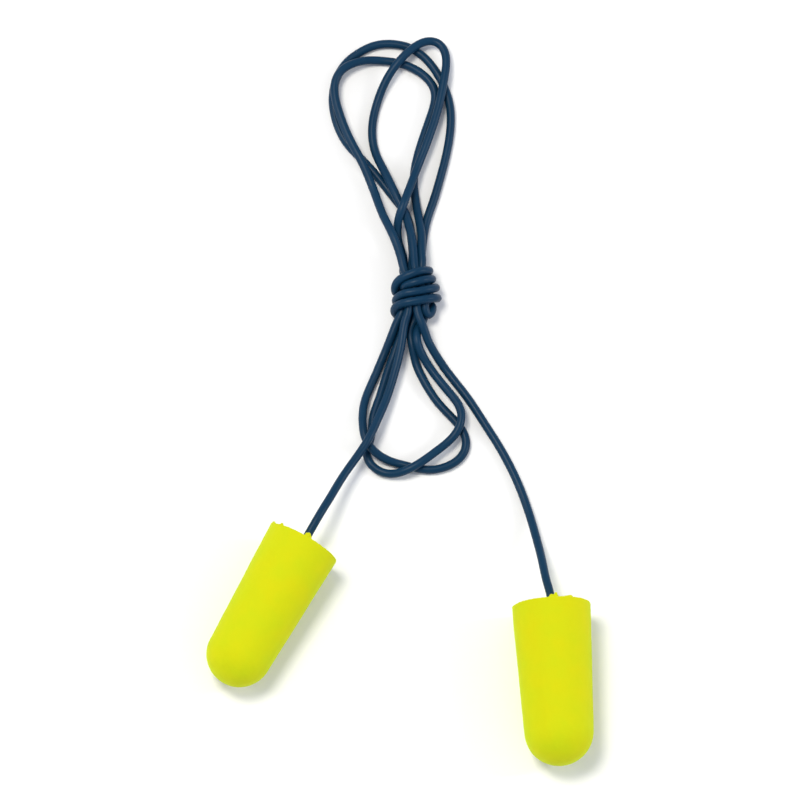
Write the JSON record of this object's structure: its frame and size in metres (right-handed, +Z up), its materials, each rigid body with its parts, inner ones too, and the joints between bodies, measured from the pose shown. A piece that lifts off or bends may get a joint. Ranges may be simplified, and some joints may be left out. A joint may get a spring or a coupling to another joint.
{
  "type": "corded foam ear plugs",
  "caption": "Tapered soft foam ear plugs joined by a thin vinyl cord, which is looped into a hank and held by its own turns.",
  "frame": {"origin": "middle of the box round the plugs, on the surface that they lie on", "axes": "+Z up, +X across the plugs from the left one to the right one, +Y from the plugs towards the far end of the hank"},
  "size_m": [0.0594, 0.1174, 0.0121],
  "materials": {
    "foam": "matte",
    "cord": "satin",
    "glue": "gloss"
  },
  "bodies": {
    "cord": {"cord_wraps": "cord", "upper_loop_rear": "cord", "upper_loop_middle": "cord", "upper_loop_front": "cord", "lower_loop_under": "cord", "lower_loop_over": "cord", "left_tail": "cord", "right_tail": "cord"},
    "left_plug": {"left_foam_plug": "foam", "left_cord_glue": "glue", "left_cord_end": "cord"},
    "right_plug": {"right_foam_plug": "foam", "right_cord_glue": "glue", "right_cord_end": "cord"}
  },
  "joints": [
    {"name": "left_plug_swing", "type": "hinge", "parent": "cord", "child": "left_plug", "pos_m": [-0.01352, 0.0185, 0.00589], "axis": [0, 0, 1], "range_deg": [-45, 45]},
    {"name": "right_plug_swing", "type": "hinge", "parent": "cord", "child": "right_plug", "pos_m": [0.02301, 0.00877, 0.00614], "axis": [0, 0, 1], "range_deg": [-45, 45]}
  ]
}
